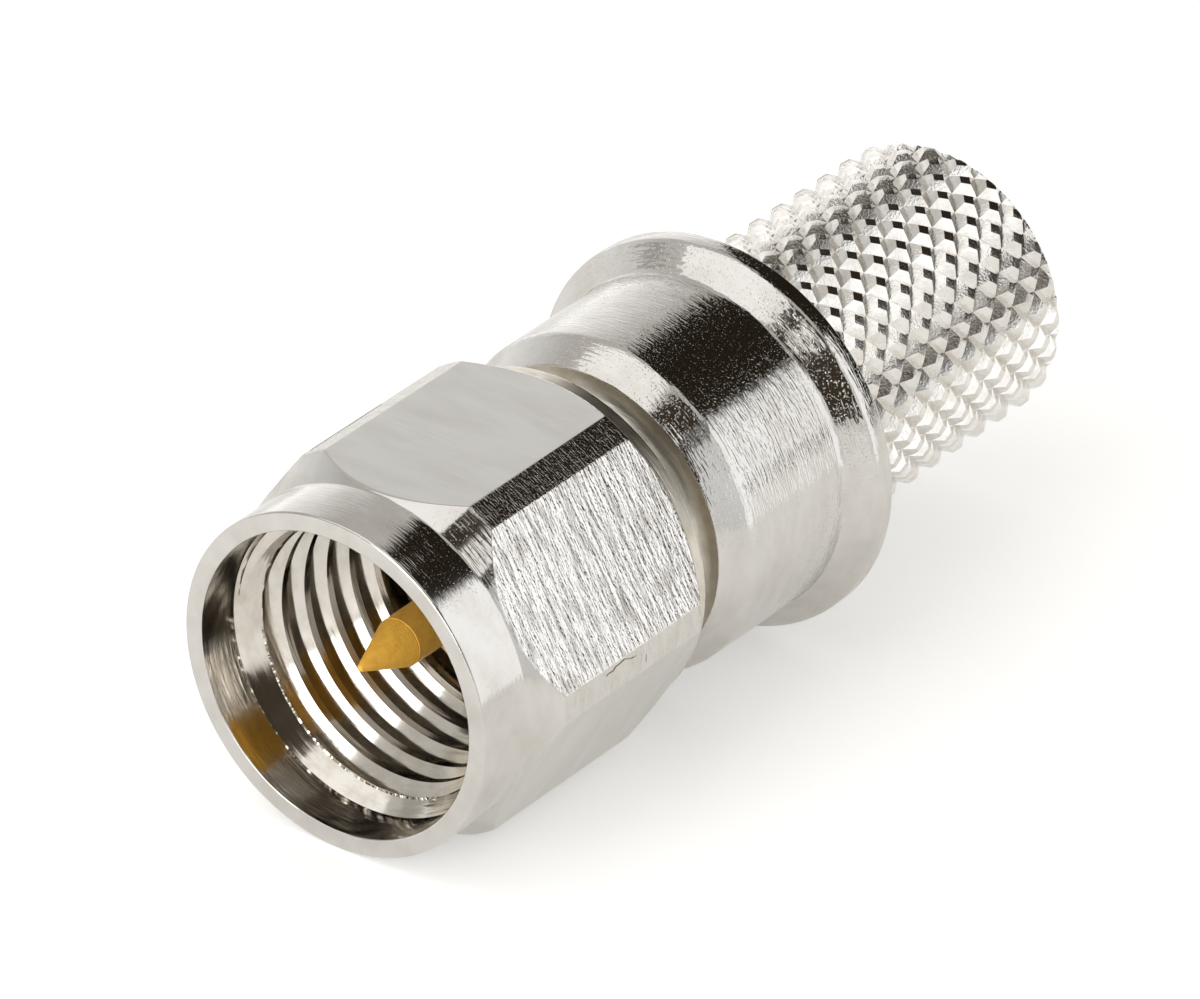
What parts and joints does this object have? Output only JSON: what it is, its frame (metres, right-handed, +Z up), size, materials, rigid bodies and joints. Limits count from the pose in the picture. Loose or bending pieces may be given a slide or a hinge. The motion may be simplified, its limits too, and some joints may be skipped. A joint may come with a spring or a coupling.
{
  "type": "screw-on coaxial cable plug",
  "caption": "Straight crimp plug for thick coaxial cable: a freely turning hexagonal coupling nut with a threaded mouth, a pointed centre pin and a diamond-knurled crimp stem",
  "frame": {"origin": "On the plug's axis in the plane of the coupling nut's open front edge.", "axes": "+Y along the plug's axis from the mouth towards the cable, +Z up out of one flat of the nut with the plug lying on the opposite flat, +X to the right seen from the mouth."},
  "size_m": [0.0126, 0.0299, 0.0126],
  "materials": {
    "nickel_plate": "bright nickel plate on turned brass",
    "spring_bronze": "plain spring bronze",
    "white_ptfe": "machined, waxy matt",
    "gold_plate": "satin gold plate on brass"
  },
  "bodies": {
    "plug": {"body": "nickel_plate", "insulator": "white_ptfe", "contact_pin": "gold_plate"},
    "ring": {"retaining_ring": "spring_bronze"},
    "nut": {"coupling_nut": "nickel_plate"}
  },
  "joints": [
    {"name": "nut_spin", "type": "hinge", "parent": "plug", "child": "ring", "pos_m": [0, 0.0087, 0], "axis": [0, 1, 0], "continuous": true},
    {"name": "nut_float", "type": "slide", "parent": "ring", "child": "nut", "axis": [0, 1, 0], "range_m": [0, 0.00055]}
  ]
}
